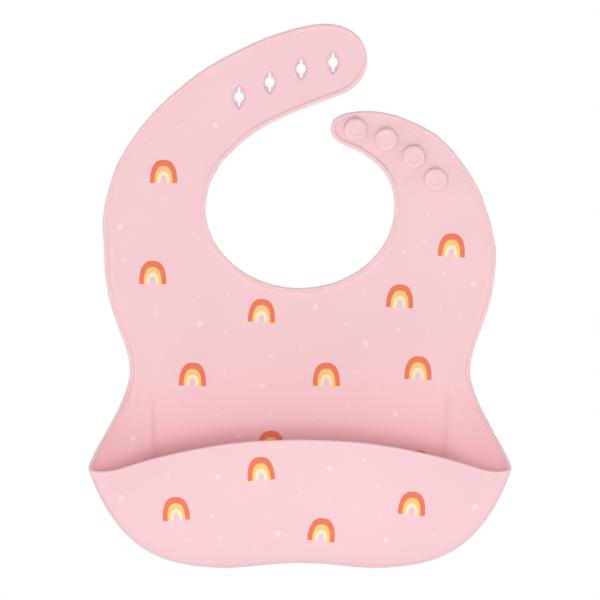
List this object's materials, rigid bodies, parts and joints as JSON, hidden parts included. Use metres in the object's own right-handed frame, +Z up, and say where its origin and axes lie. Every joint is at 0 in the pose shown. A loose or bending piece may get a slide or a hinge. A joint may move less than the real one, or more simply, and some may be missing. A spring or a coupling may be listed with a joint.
{
  "type": "silicone bib",
  "caption": "Moulded silicone baby bib with a catch pocket, a long strap with button holes and a short strap with mushroom studs; straps and pocket front flex.",
  "frame": {"origin": "centre of the neck opening, in the plane of the flat back face", "axes": "+Z up towards the neck strap, +X to the right as seen from the front, -Y out of the printed front"},
  "size_m": [0.2326, 0.0502, 0.299],
  "materials": {
    "silicone": "matt moulded silicone",
    "silicone_rim": "matt moulded silicone, rounded bead",
    "ink_orange": "matt printed ink",
    "ink_yellow": "matt printed ink",
    "ink_cream": "matt printed ink",
    "ink_lilac": "matt printed ink",
    "ink_white": "matt printed ink"
  },
  "bodies": {
    "panel": {"bib_panel": "silicone", "neck_rim": "silicone_rim", "left_side_rim": "silicone_rim", "right_side_rim": "silicone_rim", "left_gusset": "silicone", "right_gusset": "silicone", "pocket_floor": "silicone", "panel_arc_orange": "ink_orange", "panel_arc_yellow": "ink_yellow", "panel_arc_cream": "ink_cream", "panel_arc_lilac": "ink_lilac", "panel_stars": "ink_white"},
    "pocket_front": {"pocket_front": "silicone", "pocket_lip": "silicone_rim", "pocket_arc_orange": "ink_orange", "pocket_arc_yellow": "ink_yellow", "pocket_arc_cream": "ink_cream", "pocket_arc_lilac": "ink_lilac", "pocket_stars": "ink_white"},
    "long_strap": {"long_strap_root": "silicone", "long_strap_root_rim": "silicone_rim", "strap_arc_orange": "ink_orange", "strap_arc_yellow": "ink_yellow", "strap_arc_cream": "ink_cream", "strap_arc_lilac": "ink_lilac", "strap_stars": "ink_white"},
    "long_strap_tip": {"long_strap_tip": "silicone", "long_strap_tip_rim": "silicone_rim", "eyelet_1": "silicone_rim", "eyelet_2": "silicone_rim", "eyelet_3": "silicone_rim", "eyelet_4": "silicone_rim"},
    "short_strap": {"short_strap": "silicone", "short_strap_rim": "silicone_rim", "stud_1": "silicone_rim", "stud_2": "silicone_rim", "stud_3": "silicone_rim", "stud_4": "silicone_rim"}
  },
  "joints": [
    {"name": "long_strap_bend", "type": "hinge", "parent": "panel", "child": "long_strap", "pos_m": [-0.08, -0.0015, 0], "axis": [-1, 0, 0], "range_deg": [-30, 90], "stiffness_Nm_per_rad": 0.05},
    {"name": "long_strap_tip_bend", "type": "hinge", "parent": "long_strap", "child": "long_strap_tip", "pos_m": [-0.0431, -0.0015, 0.05516], "axis": [-0.6157, 0, 0.788], "range_deg": [-30, 60], "stiffness_Nm_per_rad": 0.03},
    {"name": "short_strap_bend", "type": "hinge", "parent": "panel", "child": "short_strap", "pos_m": [0.077, -0.0015, 0], "axis": [-1, 0, 0], "range_deg": [-30, 90], "stiffness_Nm_per_rad": 0.03},
    {"name": "pocket_front_flex", "type": "hinge", "parent": "panel", "child": "pocket_front", "pos_m": [0, -0.026, -0.197], "axis": [1, 0, 0], "range_deg": [-20, 20], "stiffness_Nm_per_rad": 0.4}
  ]
}
